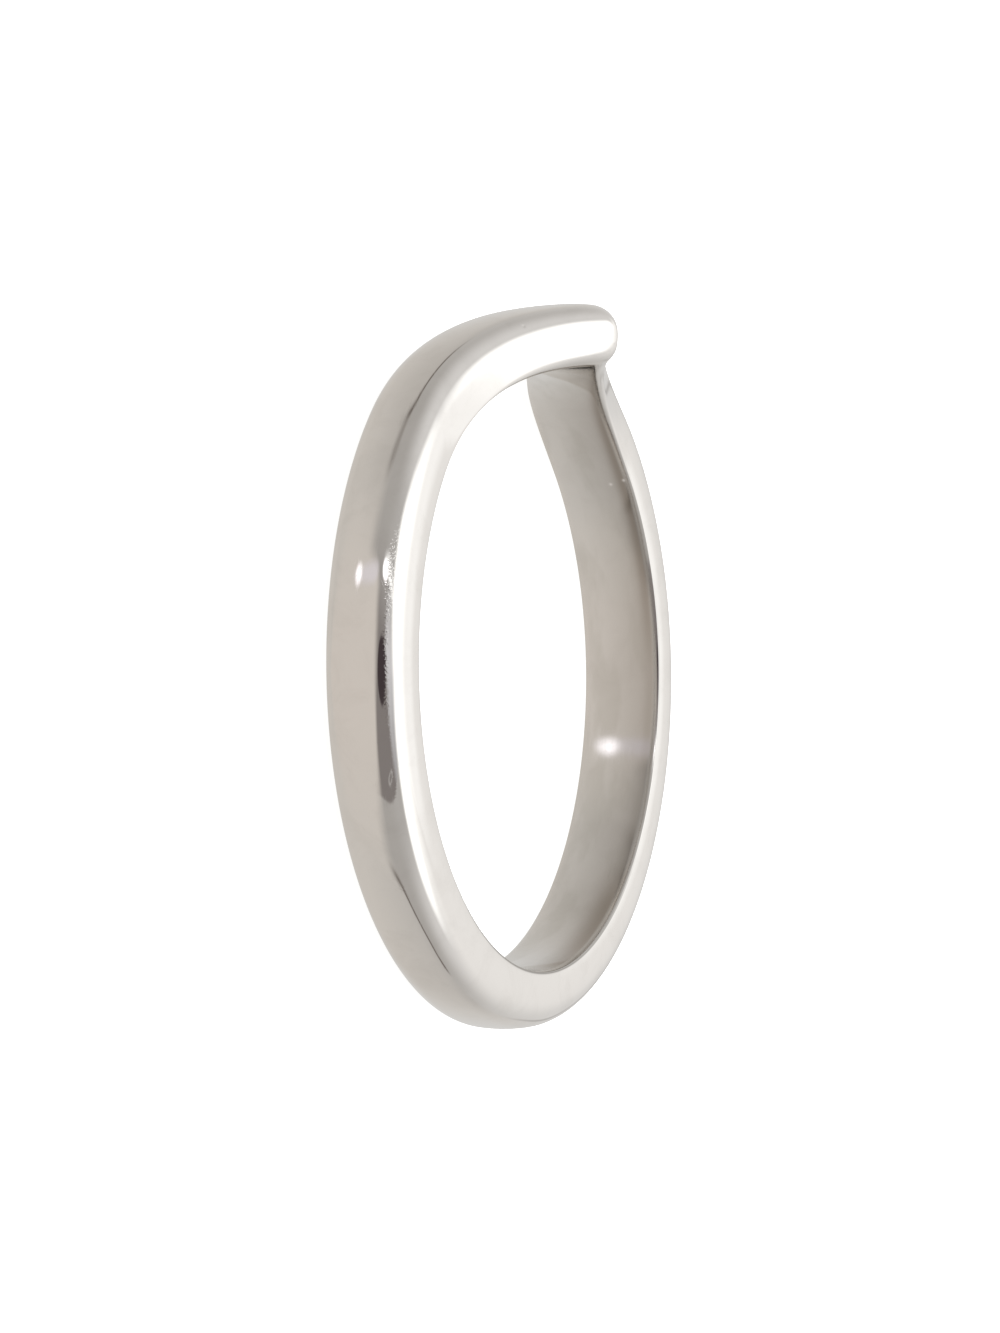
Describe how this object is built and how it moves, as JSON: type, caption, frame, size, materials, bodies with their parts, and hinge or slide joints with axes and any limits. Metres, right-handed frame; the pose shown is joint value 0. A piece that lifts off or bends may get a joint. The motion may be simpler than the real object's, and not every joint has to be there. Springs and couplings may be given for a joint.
{
  "type": "wishbone ring",
  "caption": "Plain polished silver wishbone ring: a domed band whose front is drawn out into a soft vee.",
  "frame": {"origin": "on the axis of the finger hole, in the plane of the flat back rim that the ring rests on", "axes": "+Z along the finger hole, from the flat back rim to the side that the vee points to; the vee's tip is at -Y; +X completes the frame"},
  "size_m": [0.0204, 0.0205, 0.0048],
  "materials": {
    "silver": "solid silver, polished bright all round, with faint wiping marks and hairline scratches from wear"
  },
  "bodies": {
    "root": {"wishbone_band": "silver"}
  },
  "joints": []
}
